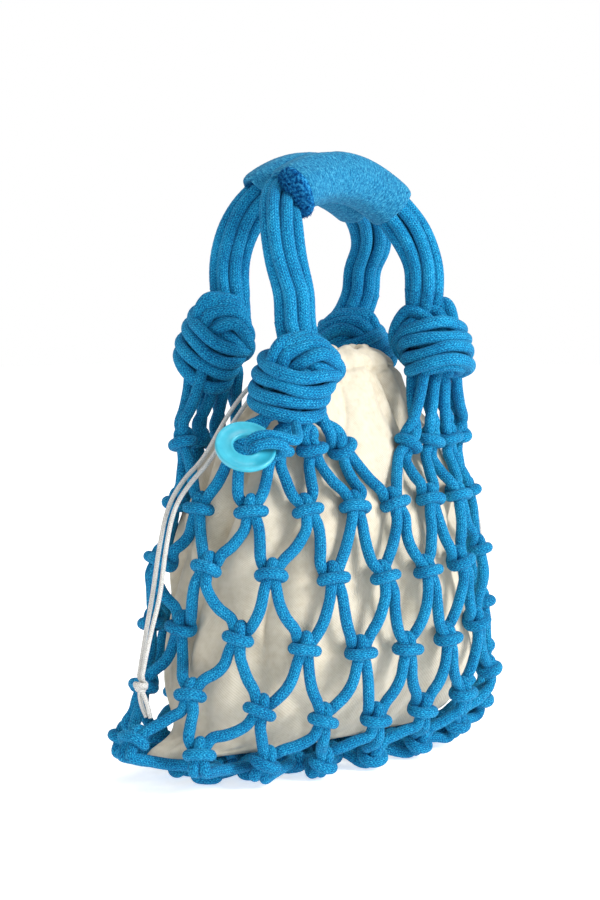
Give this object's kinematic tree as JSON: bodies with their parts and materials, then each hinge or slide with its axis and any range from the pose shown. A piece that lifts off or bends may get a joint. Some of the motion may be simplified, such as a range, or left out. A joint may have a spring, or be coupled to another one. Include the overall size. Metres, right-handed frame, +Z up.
{
  "type": "rope net handbag",
  "caption": "Knotted rope net handbag with two padded rope handles, a cotton drawstring pouch inside the net and a ring tag tied at one corner.",
  "frame": {"origin": "on the floor, under the middle of the bag's extents without its free drawstrings", "axes": "+Z up, X along the bag's width with the front face looking along -Y, Y through its depth"},
  "size_m": [0.3273, 0.164, 0.3876],
  "materials": {
    "blue_cord": "braided matte cotton",
    "grip_yarn": "fine matte yarn",
    "grip_padding": "cut fibre",
    "pouch_cotton": "plain-weave canvas",
    "drawstring": "thin braided cotton",
    "tag_enamel": "satin"
  },
  "bodies": {
    "net": {"gather_knot_front_left": "blue_cord", "gather_knot_front_right": "blue_cord", "gather_knot_rear_left": "blue_cord", "gather_knot_rear_right": "blue_cord", "net_cords_column_01": "blue_cord", "net_cords_column_02": "blue_cord", "net_cords_column_03": "blue_cord", "net_cords_column_04": "blue_cord", "net_cords_column_05": "blue_cord", "net_cords_column_06": "blue_cord", "net_cords_column_07": "blue_cord", "net_cords_column_08": "blue_cord", "net_cords_column_09": "blue_cord", "net_cords_column_10": "blue_cord", "net_cords_column_11": "blue_cord", "net_cords_column_12": "blue_cord", "net_cords_column_13": "blue_cord", "net_cords_column_14": "blue_cord", "net_cords_column_15": "blue_cord", "net_cords_column_16": "blue_cord", "net_knots_row_1": "blue_cord", "net_knots_row_2": "blue_cord", "net_knots_row_3": "blue_cord", "net_knots_row_4": "blue_cord", "net_knots_row_5": "blue_cord", "net_knots_row_6": "blue_cord", "net_knots_row_7": "blue_cord", "base_seam_knots": "blue_cord", "drawstring_pouch": "pouch_cotton", "left_drawstring_front_strand": "drawstring", "left_drawstring_rear_strand": "drawstring", "right_drawstring_front_strand": "drawstring", "right_drawstring_rear_strand": "drawstring", "left_drawstring_knot": "drawstring", "right_drawstring_knot": "drawstring", "tag_tie": "blue_cord"},
    "front_handle": {"front_handle_cords": "blue_cord", "front_grip_wrap": "grip_yarn", "front_grip_padding": "grip_padding"},
    "rear_handle": {"rear_handle_cords": "blue_cord", "rear_grip_wrap": "grip_yarn", "rear_grip_padding": "grip_padding"},
    "tag": {"tag_ring": "tag_enamel"}
  },
  "joints": [
    {"name": "front_handle_swing", "type": "hinge", "parent": "net", "child": "front_handle", "pos_m": [-0.049, -0.036, 0.2867], "axis": [0.9899, 0, 0.1414], "range_deg": [0, 60]},
    {"name": "rear_handle_swing", "type": "hinge", "parent": "net", "child": "rear_handle", "pos_m": [0.077, 0.036, 0.3127], "axis": [-0.9992, 0, -0.0397], "range_deg": [0, 60]},
    {"name": "tag_swing", "type": "hinge", "parent": "net", "child": "tag", "pos_m": [-0.09047, -0.0572, 0.206], "axis": [0.4372, 0.4527, 0.7771], "range_deg": [0, 90]}
  ]
}
